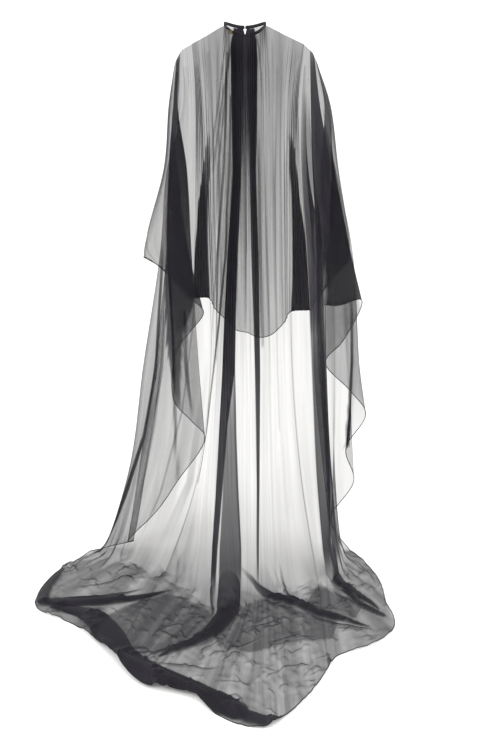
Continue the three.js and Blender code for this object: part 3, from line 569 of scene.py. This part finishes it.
FLOOR_FOLDS = [
    ([(520, 452), (440, 478), (392, 528), (352, 610), (318, 700), (268, 752), (200, 800), (131, 845),
      (66, 888), (20, 926)], 56, 6.0, 15, (0.75, 0.5)),
    ([(400, 560), (330, 690), (240, 765), (140, 835), (70, 880)], 24, 1.6, 9, (1, 1)),
    ([(40, 905), (0, 940), (-50, 966), (-96, 950), (-120, 905)], 24, 3.8, 9, (0.4, 0.9)),
    ([(556, 425), (470, 424), (380, 416), (300, 398), (205, 352)], 25, 5.0, 12, (0.2, 1)),
    ([(530, 408), (450, 402), (360, 384), (280, 340)], 12, 2.2, 7, (1, 1)),
    ([(500, 350), (420, 330), (350, 290), (290, 250)], 8, 1.4, 6, (1, 1)),
    ([(522, 195), (552, 280), (566, 360), (560, 430)], 20, 2.2, 9, (0.8, 0.3)),
    ([(478, 140), (500, 200), (520, 262)], 6, 1.0, 4, (1, 1)),
    ([(43, 400), (45, 440), (50, 490), (68, 536), (92, 584), (124, 622), (162, 650), (215, 690)],
     30, 4.4, 13, (0, 0.85)),
    ([(91, 400), (88, 450), (89, 520)], 6, 3.4, 5, (0, 1)),
    ([(72, 540), (110, 600), (160, 648), (224, 676), (262, 722)], 12, 1.6, 7, (1, 1)),
    ([(232, 720), (190, 730), (140, 742), (100, 752), (60, 742)], 9, 1.6, 6, (1, 1)),
    ([(36, 350), (-40, 380), (-88, 400), (-133, 425), (-199, 478), (-265, 515), (-336, 552)],
     25, 4.8, 13, (0.97, 0.95)),
    ([(-92, 290), (-108, 355), (-136, 415), (-190, 462)], 8, 2.6, 6, (0.9, 1)),
    ([(-150, 468), (-226, 534), (-300, 560), (-345, 568)], 9, 2.4, 7, (1, 1)),
    ([(-262, 340), (-296, 385), (-316, 430), (-352, 470), (-378, 500)], 16, 3.4, 9, (1, 0.7)),
    ([(-252, 190), (-262, 260), (-272, 312), (-302, 362), (-340, 412), (-374, 470)],
     20, 4.2, 10, (0.4, 1)),
    ([(-236, 330), (-270, 400), (-318, 446), (-352, 452)], 7, 1.4, 6, (1, 1)),
    ([(-300, 140), (-345, 215), (-368, 300), (-372, 370)], 5, 0.9, 4, (1, 1)),
    ([(-40, 640), (-120, 615), (-190, 600)], 5, 1.0, 4, (1, 1)),
    ([(20, 575), (-60, 540), (-120, 500)], 5, 1.0, 4, (1, 1)),
    ([(80, 700), (10, 650), (-50, 600)], 5, 1.0, 4, (1, 1)),
    ([(-60, 790), (-110, 740), (-190, 742)], 6, 1.2, 5, (1, 1)),
    ([(-206, 680), (-212, 728), (-204, 770)], 9, 1.4, 7, (1, 1)),
]
DOUBLED = [
    ([(385, 505), (292, 412), (222, 376), (167, 400), (101, 470), (81, 520), (119, 600), (208, 672),
      (273, 692), (331, 612)], 0.8),
    ([(36, 405), (-47, 398), (-150, 470), (-250, 520), (-228, 605), (-119, 630), (-13, 672),
      (52, 655), (80, 605)], 0.72),
    ([(-215, 320), (-255, 372), (-330, 430), (-300, 500), (-240, 500), (-170, 420)], 0.7),
    ([(-20, 330), (-60, 420), (-150, 500), (-100, 380), (-60, 330)], 0.6),
]
SHORT_WRINKLES = [
    (70, 480, 1.1, 40), (150, 455, 1.0, 46), (190, 500, 0.9, 38), (250, 520, 0.6, 44),
    (300, 560, 0.8, 36), (170, 590, 0.7, 52), (60, 600, 0.5, 34), (-20, 590, 0.4, 48),
    (-70, 660, 0.7, 40), (-20, 730, 0.9, 42), (20, 800, 0.6, 46), (-60, 850, 0.5, 38),
    (-110, 680, 0.6, 36), (-140, 640, 1.0, 34), (-150, 560, 0.8, 42), (-230, 620, 0.5, 46),
    (-90, 520, 0.4, 30), (-10, 480, 0.5, 30), (110, 700, 0.9, 40), (360, 470, 0.3, 44),
    (430, 330, 0.4, 60), (400, 260, 0.5, 56), (460, 230, 0.6, 44), (330, 300, 0.7, 40),
    (-330, 330, 2.2, 44), (-345, 250, 2.0, 36), (-320, 400, 2.4, 34), (-260, 560, 2.6, 44),
    (10, 900, 0.2, 52), (-60, 930, 0.1, 44), (-160, 800, 2.4, 36), (-140, 740, 2.2, 30),
]
SHORT_WRINKLE = {"half_width": 4, "layers": 1.6, "height": 5}
SLACK_ON_FLOOR = 0.25
WRINKLE_HEIGHT = 9


def lay_on_floor(cloth):
    """The train's folds, doubled parts and wrinkles, on the sheets that reach the floor."""
    cloth.layers *= 1 + SLACK_ON_FLOOR * cloth.lying
    cloth.crumple(WRINKLE_HEIGHT)
    for path, half_width, layers, height, tapers in FLOOR_FOLDS:
        cloth.lay_fold(path, half_width, layers, height, tapers)
    for outline, layers in DOUBLED:
        cloth.double(outline, layers)
    for x, y, turned, length in SHORT_WRINKLES:
        reach = np.array([math.cos(turned + 0.6), -math.sin(turned + 0.6)]) * length / 2
        bend = np.array([reach[1], -reach[0]]) * 0.25
        middle = np.array([x, y])
        cloth.lay_fold([middle - reach, middle + bend, middle + reach], **SHORT_WRINKLE)


back_lines = []
back_steps = []
for name, top, levels, touch, end, pleats, *_ in BACK_FOLDS:
    start = SLIT_DROP if name == "slit foot" else 0.0
    back_lines.append(back_fall_line(top_point(top, True), levels, touch, end, start))
    back_steps.append(max(8 * pleats, 4))
back_steps.pop()
back_cloth = Cloth(back_lines, back_steps, -1)
for fold, (name, *_, pleats, width, deep) in enumerate(BACK_FOLDS[:-1]):
    if pleats:
        back_cloth.gather(fold, pleats, width, deep, 0.6 * fold)
back_cloth.vary(amount=0.35, seed=1.5)
# The first set thickens the whole upper back: partly gathered fullness, partly painted shade of the body.
for stations in [UPPER_BACK_FULLNESS_AND_SHADE, *BACK_OVERLAYS]:
    back_cloth.overlay(stations, height=1.5)
SEAM_LINE = [(-1519, 2.5, 1.5), (-1250, 2.5, 1.6), (-930, 2.2, 1.4), (-700, 2, 0.8), (-500, 2, 0)]
back_cloth.crease(0, SEAM_LINE)
back_cloth.crease(len(BACK_FOLDS) - 1, SEAM_LINE)
lay_on_floor(back_cloth)
back_panel = sew("chiffon_back", back_cloth, chiffon)
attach(back_panel, "root")
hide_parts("back_panel")
back_ends = back_cloth.finish_points()
back_hem = roll("rolled_hem_back", [back_ends[:, -1]], HEM_RADIUS)

# Wing sleeves: each is cut in one with its side of the train, sewn to the back along a seam, passed
# over the arm and sewn to the front. Its free edge falls from the wrist to the floor in a cascade.
# A fold with a touch lies on the floor; the others hang, and end at a point of the free edge.

WING_FOLDS = {
    "left": [
        ("fan inner", (140, 137, 142, 160, 215), 180, (311, 212), (450, 544)),
        ("fan middle", (152, 164, 180, 214, 270), 150, (376, 176), (575, 445)),
        ("fan outer", (162, 192, 212, 258, 314), 126, (412, 150), (562, 286)),
        ("fan edge", (166, 204, 227, 278, 332), 115, (428, 134), (518, 190)),
        ("outer fold", (170, 216, 240, 296, 346), 105, (440, 118), (466, 118)),
        ("outer return", (175, 211, 233, 284, 330), (424, 90, -1517)),
        ("pleat inner", (179, 206, 224, 244, 296), (340, 82, -1497)),
        ("pleat outer", (182, 201, 222, 264, 318), (362, 72, -1506)),
        ("lower scallop", (185, 194, 210, 224), (267, 65, -1401)),
        ("inner notch", (186, 180, 190, 198), (206, 58, -1310)),
        ("inner fold", (185, 162, 153, 137), (121, 51, -1170)),
        ("middle run", (191, 186, 186, 172), (160, 43, -1122)),
        ("return fold", (197, 212, 222, 212), (214, 35, -1057)),
        ("upper notch", (198, 206, 206), (201, 28, -903)),
        ("upper run", (200, 198, 188), (162, 21, -849)),
        ("upper fold", (203, 190, 164), (122, 14, -790)),
        ("cuff corner", (206, 212, 222), (165, 7, -748)),
        ("under wrist", (209, 223, 258), (204, 11, -700)),
        ("cuff inner", (212, 228, 282), (246, 14, -656)),
        ("arm line", (213, 230, 292), (295, 0, -630)),
    ],
    "right": [
        ("band 1", (-155, -157, -176, -194, -212), 180, (-234, 322), (-232, 690)),
        ("band 2", (-164, -175, -214, -230, -250), 162, (-255, 292), (-328, 636)),
        ("band 3", (-167, -170, -190, -199, -232), 147, (-272, 256), (-396, 550)),
        ("band 4", (-176, -190, -222, -236, -257), 132, (-290, 226), (-391, 424)),
        ("band 5", (-180, -187, -202, -212, -253), 119, (-298, 182), (-385, 284)),
        ("floor run", (-186, -202, -222, -234, -261), 108, (-306, 146), (-354, 172)),
        ("floor corner", (-191, -211, -238, -254, -268), 98, (-302, 113), (-322, 106)),
        ("low notch", (-196, -220, -250, -268, -266), (-262, 86, -1426)),
        ("low lobe", (-201, -229, -272, -300), (-330, 78, -1300)),
        ("pleat line", (-206, -240, -288, -314), (-303, 70, -1201)),
        ("outer fold", (-211, -253, -306, -336), (-361, 60, -1092)),
        ("return run", (-215, -232, -266, -290), (-314, 50, -1024)),
        ("inner fold", (-219, -212, -226), (-238, 40, -937)),
        ("upper run", (-223, -234, -266), (-289, 31, -875)),
        ("sleeve tip", (-227, -252, -302), (-342, 22, -752)),
        ("under sleeve", (-231, -247, -262), (-268, 13, -772)),
        ("sleeve corner", (-234, -243, -236), (-214, 4, -760)),
        ("cuff inner", (-237, -259, -276), (-250, -6, -702)),
        ("arm line", (-239, -265, -306), (-304, -14, -640)),
    ],
}
ARM_LINES = {
    "left": [
        (146, -37), (173, -50), (193, -84), (206, -140), (214, -240),
        (229, -370), (256, -460), (281, -550), (296, -625),
    ],
    "right": [
        (-162, -38), (-187, -60), (-201, -90), (-220, -145), (-240, -240),
        (-264, -370), (-283, -460), (-298, -550), (-312, -625),
    ],
}
FRONT_SEAMS = {
    "left": ((138, -58), (148, -34), (154, -32, -760)),
    "right": ((-150, -58), (-180, -36), (-194, -34, -797)),
}
BACK_SEAMS = {"left": BACK_FOLDS[0], "right": BACK_FOLDS[-1]}
SLEEVE_TOP_END = -96
NEST_CHEST = (79, 36)
NEST_ELBOW = (98, 38)
LAYERS_ROUND_ARM = 3
STEPS_LYING = {"left": 22, "right": 14}
STEPS_HANGING = 8

# Where a wing lies over itself more finely than its folds show: between which folds, then height,
# from x to x, and how many more layers. Lines along single folds follow: fold, then height, how
# wide and how many more layers.

WING_OVERLAYS = {
    "left": [
        ((8, 14), [(-50, 186, 174, 0), (-90, 194, 181, 5), (-140, 199, 180, 3), (-210, 205, 184, 0)]),
        ((8, 10), [(-580, 228, 212, 1), (-660, 230, 209, 5), (-860, 228, 207, 5),
                   (-940, 220, 207, 4), (-1020, 214, 206, 3.4), (-1150, 212, 207, 3),
                   (-1250, 210, 205, 2.6), (-1330, 206, 202, 0)]),
        ((2, 5), [(-620, 222, 217, 0), (-760, 228, 223, 2), (-930, 242, 237, 2.4),
                  (-1100, 268, 262, 1.6), (-1250, 298, 292, 1.2), (-1400, 338, 332, 0)]),
        ((0, 3), [(-560, 128, 124, 0), (-800, 150, 146, 1.2), (-1050, 184, 179, 1.2),
                  (-1300, 252, 246, 1), (-1480, 330, 322, 0)]),
        ((11, 13), [(-110, 200, 180, 4), (-180, 208, 178, 7),
                    (-290, 218, 171, 7.5), (-370, 222, 162, 7), (-480, 226, 156, 6),
                    (-600, 230, 150, 4.5), (-760, 226, 150, 4), (-840, 224, 182, 4),
                    (-960, 216, 192, 4.6), (-1040, 209, 195, 3.4), (-1100, 206, 198, 1)]),
        ((11, 13), [(-700, 182, 172, 0), (-800, 181, 171, 2.6), (-960, 178, 169, 3.4),
                    (-1040, 170, 162, 3), (-1110, 160, 154, 0)]),
        ((14, 17), [(-370, 230, 180, 1), (-600, 230, 150, 1.4), (-850, 240, 110, 1.4)]),
        ((2, 5), [(-560, 233, 228, 0), (-640, 239, 232, 3.5), (-790, 251, 244, 4.6),
                  (-940, 262, 255, 5), (-1050, 284, 276, 4.5), (-1140, 302, 293, 5),
                  (-1227, 331, 321, 6), (-1315, 360, 349, 6), (-1410, 396, 385, 5),
                  (-1500, 437, 427, 6)]),
        ((2, 5), [(-96, 190, 150, 0.2), (-600, 240, 190, 0.5), (-930, 300, 230, 0.4),
                  (-1500, 460, 380, 0.7)]),
        ((0, 3), [(-900, 112, 100, 0), (-1250, 170, 150, 0.8), (-1480, 270, 238, 0)]),
    ],
    "right": [
        ((1, 2), [(-96, -152, -170, 0.6), (-200, -152, -168, 1.2), (-370, -155, -178, 2.6),
                  (-600, -174, -213, 5), (-760, -184, -216, 5), (-830, -188, -218, 2.6),
                  (-930, -192, -234, 4), (-1250, -210, -255, 4.4), (-1450, -225, -262, 5),
                  (-1519, -225, -270, 5)]),
        ((1, 4), [(-160, -156, -176, 0), (-260, -159, -186, 1.8), (-370, -160, -188, 2.2),
                  (-480, -166, -192, 1.8), (-600, -184, -191, 1.8), (-800, -186, -192, 2),
                  (-880, -187, -192, 0)]),
        ((5, 8), [(-400, -207, -211, 0), (-560, -207, -212, 2.4), (-780, -207, -212, 2.4),
                  (-880, -208, -212, 0)]),
        ((5, 10), [(-50, -172, -190, 2), (-100, -178, -204, 5), (-200, -178, -222, 6.5),
                   (-310, -180, -236, 7), (-480, -183, -240, 6.5), (-600, -180, -236, 5),
                   (-680, -182, -214, 3), (-740, -188, -212, 0)]),
        ((3, 4), [(-700, -206, -222, 0.6), (-930, -220, -236, 3.4), (-1100, -230, -246, 4.4),
                  (-1250, -242, -259, 4.4), (-1400, -252, -272, 4.4), (-1519, -262, -292, 4)]),
        ((13, 15), [(-60, -185, -196, 1), (-120, -205, -224, 3), (-200, -212, -236, 4),
                    (-370, -205, -262, 4.6), (-480, -215, -285, 3), (-600, -222, -305, 1.6),
                    (-700, -236, -330, 1), (-940, -236, -350, 0.6)]),
        ((15, 17), [(-70, -190, -204, 1), (-200, -220, -240, 3), (-370, -240, -256, 4),
                    (-480, -236, -285, 4.4), (-600, -232, -306, 4.6), (-660, -238, -330, 4.6),
                    (-780, -240, -350, 4.6)]),
        ((9, 13), [(-700, -230, -362, 0), (-800, -230, -362, 0.5), (-1000, -230, -362, 0.5),
                   (-1150, -230, -362, 0)]),
        ((8, 11), [(-700, -300, -307, 1), (-800, -306, -314, 3.4), (-930, -310, -318, 4.6),
                   (-1060, -306, -316, 4), (-1190, -300, -312, 3)]),
        ((5, 8), [(-150, -186, -206, 0), (-370, -196, -226, 2), (-560, -206, -236, 2),
                  (-700, -206, -220, 0)]),
    ],
}
TURNS = {"left": (5, 7, 8, 11, 13, 16), "right": (1, 2, 3, 4, 11, 13, 15, 17)}
TURN_LINE = [(-1519, 3, 0.8), (-300, 3, 1), (-150, 2, 0)]


def arm_point(side, z):
    heights = [row[1] for row in ARM_LINES[side]][::-1]
    return np.array([np.interp(z, heights, [row[0] for row in ARM_LINES[side]][::-1]), 0, z])


def sleeve_top(side, share):
    first = ARM_LINES[side][0][1]
    return arm_point(side, first + (SLEEVE_TOP_END - first) * share)


def nest_depth(depths, index, count):
    stacked = count - LAYERS_ROUND_ARM
    if index <= stacked:
        return depths[0] + (depths[1] - depths[0]) * index / stacked
    return depths[1] * (count - index) / LAYERS_ROUND_ARM


def wing_fall_line(side, index, row):
    count = len(WING_FOLDS[side])
    levels = row[1]
    hangs = len(row) == 3
    lowest_y, lowest_z = row[2][1:] if hangs else (row[2], LEVELS["calf"][0])
    elbow_z = LEVELS["elbow"][0]
    stations = [sleeve_top(side, index / count)]
    for level, x in zip(BACK_LEVELS, levels):
        z = LEVELS[level][0]
        y = nest_depth(NEST_ELBOW, index, count)
        y += (lowest_y - y) * (elbow_z - z) / (elbow_z - lowest_z)
        if level == "chest":
            y = nest_depth(NEST_CHEST, index, count)
        stations.append(np.array([x, y, z]))
    if hangs:
        return fall_line(stations + [np.array(row[2], float)], ROWS)
    return fall_line(stations + floor_run(row[3], row[4]), ROWS)


def front_seam_line(side, rows):
    (chest_x, chest_y), (hip_x, hip_y), foot = FRONT_SEAMS[side]
    top = np.array([ARM_LINES[side][0][0], 0, ARM_LINES[side][0][1]])
    stations = [top, (chest_x, chest_y, LEVELS["chest"][0]), (hip_x, hip_y, LEVELS["wrist"][0]), foot]
    return fall_line([np.array(station, float) for station in stations], rows)


def wing_front_line(side, share, depths):
    (chest_x, _), _, foot = FRONT_SEAMS[side]
    name, levels, low = WING_FOLDS[side][-1]
    stations = [
        sleeve_top(side, 1 - share),
        (levels[0] + (chest_x - levels[0]) * share, depths[0], LEVELS["chest"][0]),
        (levels[1] + (chest_x - levels[1]) * share, depths[1], LEVELS["elbow"][0]),
        (low[0] + (foot[0] - low[0]) * share, depths[2], low[2] + (foot[2] - low[2]) * share),
    ]
    return fall_line([np.array(station, float) for station in stations], ROWS)


WING_FRONT = [(0.08, (-24, -26, -30)), (0.32, (-38, -46, -48)), (0.66, (-48, -50, -44))]

for side, turned in (("left", 1), ("right", -1)):
    _, top, levels, touch, end, *_ = BACK_SEAMS[side]
    lines = [back_fall_line(top_point(top, True), levels, touch, end)]
    steps = []
    for index, row in enumerate(WING_FOLDS[side], 1):
        lines.append(wing_fall_line(side, index, row))
        steps.append(STEPS_HANGING if len(row) == 3 else STEPS_LYING[side])
    for share, depths in WING_FRONT:
        lines.append(wing_front_line(side, share, depths))
        steps.append(STEPS_HANGING)
    lines.append(front_seam_line(side, ROWS))
    steps.append(STEPS_HANGING)
    cloth = Cloth(lines, steps, turned)
    cloth.vary(amount=0.3, seed=4.5 + turned)
    for folds, stations in WING_OVERLAYS[side]:
        cloth.overlay(stations, folds, edge=2.2)
    for fold in TURNS[side]:
        cloth.crease(fold, TURN_LINE)
    cloth.crease(0, SEAM_LINE)
    lay_on_floor(cloth)
    wing = sew(f"chiffon_{side}_wing", cloth, chiffon)
    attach(wing, "root")
    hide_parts(f"{side}_wing")
    wing_hem = roll(f"rolled_hem_{side}_wing", [cloth.finish_points()[:, -1]], HEM_RADIUS)

# Front panel: short, from the neckline to the upper thigh, its sides gathered into a bunch under
# each arm. Columns: x at the top, x and y at the chest and the hip, the foot, and the gathers.

FRONT_FOLDS = [
    ("left seam", 146, (138, -58), (148, -34), (154, -32, -760), 5, 190, 9),
    ("left bunch", 132, (120, -72), (112, -46), (108, -44, -762), 3, 130, 6),
    ("left inner", 106, (98, -92), (92, -88), (88, -86, -808), 2, 70, 4),
    ("neck side left", 57, (60, -112), (58, -114), (52, -114, -852), 2, 50, 3),
    ("left middle", 34, (34, -121), (30, -126), (24, -127, -884), 2, 50, 3),
    ("centre", 0, (0, -125), (-2, -130), (-6, -132, -892), 2, 50, 3),
    ("right middle", -34, (-36, -121), (-38, -126), (-42, -127, -906), 2, 50, 3),
    ("neck side right", -57, (-64, -111), (-68, -114), (-78, -114, -896), 2, 70, 4),
    ("right inner", -112, (-106, -92), (-112, -90), (-118, -88, -850), 3, 130, 6),
    ("right bunch", -146, (-130, -72), (-132, -50), (-136, -46, -805), 5, 200, 9),
    ("right seam", -162, (-150, -58), (-180, -36), (-194, -34, -797), 0, 0, 0),
]
FRONT_ROWS = 110
# How much denser the whole front is made: partly its gathered fullness, partly painted shade of the body
# that it hangs on.
FRONT_FULLNESS_AND_SHADE = 1.35
FRONT_OVERLAYS = [
    ((0, 2), [(-280, 104, 98, 0), (-330, 112, 99, 3), (-400, 122, 102, 4.5), (-475, 134, 107, 7),
              (-640, 147, 107, 7.5), (-770, 158, 104, 7.5)]),
    ((8, 10), [(-280, -122, -130, 0), (-330, -126, -142, 4), (-475, -134, -160, 7),
               (-640, -140, -184, 7.5), (-810, -138, -200, 7.5)]),
]

front_lines = []
for name, top, chest, hip, foot, *_ in FRONT_FOLDS:
    stations = [top_point(top, False), (*chest, LEVELS["chest"][0]), (*hip, LEVELS["wrist"][0]), foot]
    front_lines.append(fall_line([np.array(station, float) for station in stations], FRONT_ROWS))
front_cloth = Cloth(front_lines, [8 * row[5] for row in FRONT_FOLDS[:-1]], 1)
for fold, (*_, pleats, width, deep) in enumerate(FRONT_FOLDS[:-1]):
    front_cloth.gather(fold, pleats, width, deep, 0.9 * fold)
front_cloth.vary(amount=0.3, seed=9.5)
# Thicken the whole front: partly gathered fullness, partly painted shade of the body behind it.
front_cloth.layers *= FRONT_FULLNESS_AND_SHADE
for folds, stations in FRONT_OVERLAYS:
    front_cloth.overlay(stations, folds)
front_panel = sew("chiffon_front", front_cloth, chiffon)
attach(front_panel, "root")
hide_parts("front_panel")
front_hem = roll("rolled_hem_front", [front_cloth.finish_points()[:, -1]], HEM_RADIUS)

# Neck binding: a narrow bias strip of the same chiffon folded over the gathered edge and sewn flat.
# It is several layers thick, so it shows as plain black, and it parts at the centre back.

BINDING_LIFT = 1.1
BINDING_HEIGHT = 9
BINDING_HALF_WALL = 1.2
BINDING_OPEN = math.radians(1.5)
binding_angles = np.linspace(BINDING_OPEN, math.tau - BINDING_OPEN, 90)
binding_path = bpy.data.curves.new("binding_ring", "CURVE")
binding_path.dimensions = "3D"
binding_path.twist_mode = "Z_UP"
binding_path.extrude = (BINDING_HEIGHT / 2 - BINDING_HALF_WALL) * MM
binding_path.bevel_depth = BINDING_HALF_WALL * MM
binding_path.bevel_resolution = 2
binding_path.use_fill_caps = True
binding_run = binding_path.splines.new("POLY")
binding_run.points.add(len(binding_angles) - 1)
for point, angle in zip(binding_run.points, binding_angles):
    middle = neck_point(angle) + np.array([0, 0, BINDING_LIFT + BINDING_HEIGHT / 2])
    point.co = (*(middle * MM), 1)
binding_ring = bpy.data.objects.new("binding_ring", binding_path)
binding_mesh = bpy.data.meshes.new_from_object(binding_ring)
bpy.data.objects.remove(binding_ring)
binding_mesh.name = "binding_strip"
binding_mesh.materials.clear()
binding_mesh.materials.append(rolled.material)
binding_strip = bpy.data.objects.new("binding_strip", binding_mesh)
scene.collection.objects.link(binding_strip)
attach(binding_strip, "root")
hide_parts("neck_binding")

# Label: a small strip of gold-brown satin with nothing on it. It is sewn by its top edge inside the
# back neckline, left of the slit, and shows faintly through the chiffon.

satin = Finish("satin_label")
satin.constants(Roughness=0.42, Anisotropic=0.4)
label_place = satin.node("TexCoord", "Object")
weave = satin.node(
    "TexWave", "Fac", {"bands_direction": "Z"}, {"Vector": label_place, "Scale": 900.0, "Distortion": 0.6}
)
satin_colour = satin.node(
    "ValToRGB",
    "Color",
    {"stops": [(0.2, (0.25, 0.17, 0.06, 1)), (0.8, (0.42, 0.31, 0.13, 1))]},
    {"Fac": weave},
)
satin.feed(satin.shader.inputs["Base Color"], satin_colour)
satin_relief = satin.node("Bump", "Normal", values={"Height": weave, "Strength": 0.2, "Distance": 0.0002})
satin.feed(satin.shader.inputs["Normal"], satin_relief)
LABEL = {"width": 17, "height": 11, "thickness": 0.5, "x": 40, "below": 13, "inside": 1}
label_top = top_point(LABEL["x"], True)
label_turn = -math.asin(LABEL["x"] / NECK["half_width"])
label_grid = bmesh.new()
bmesh.ops.create_grid(label_grid, x_segments=12, y_segments=8, size=0.5)
for vertex in label_grid.verts:
    across, up = vertex.co.x * LABEL["width"], vertex.co.y * LABEL["height"]
    bow = 0.35 * math.cos(math.pi * vertex.co.x) * (0.5 - vertex.co.y)
    vertex.co = (
        label_top[0] + across * math.cos(label_turn) - bow * math.sin(label_turn),
        label_top[1] - LABEL["inside"] + across * math.sin(label_turn) + bow * math.cos(label_turn),
        label_top[2] - LABEL["below"] + up,
    )
    vertex.co *= MM
label_mesh = bpy.data.meshes.new("label_strip")
label_grid.to_mesh(label_mesh)
label_grid.free()
label_mesh.materials.append(satin.material)
label_strip = bpy.data.objects.new("label_strip", label_mesh)
scene.collection.objects.link(label_strip)
label_wall = label_strip.modifiers.new("thickness", "SOLIDIFY")
label_wall.thickness = LABEL["thickness"] * MM
label_wall.offset = 0
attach(label_strip, "root")
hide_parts("neck_label")

# Hook and eye: round steel wire bent to a hook and a loop, under black enamel with a little wear.
# They are sewn to the two ends of the binding and close it at the centre back.

enamel = Finish("black_enamel")
enamel.constants(Metallic=0.2, Coat_Weight=0.6, Coat_Roughness=0.15)
wire_place = enamel.node("TexCoord", "Object")
wear = enamel.node("TexNoise", "Fac", values={"Vector": wire_place, "Scale": 700.0, "Detail": 2.0})
wire_colour = enamel.node(
    "ValToRGB",
    "Color",
    {"stops": [(0.3, (0.010, 0.010, 0.011, 1)), (0.75, (0.03, 0.03, 0.032, 1))]},
    {"Fac": wear},
)
enamel.feed(enamel.shader.inputs["Base Color"], wire_colour)
enamel.feed(enamel.shader.inputs["Roughness"], 0.25 + wear * 0.2)
for name in ("neck_hook", "neck_eye"):
    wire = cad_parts[name]
    wire.data.materials.clear()
    wire.data.materials.append(enamel.material)
    for face in wire.data.polygons:
        face.use_smooth = True
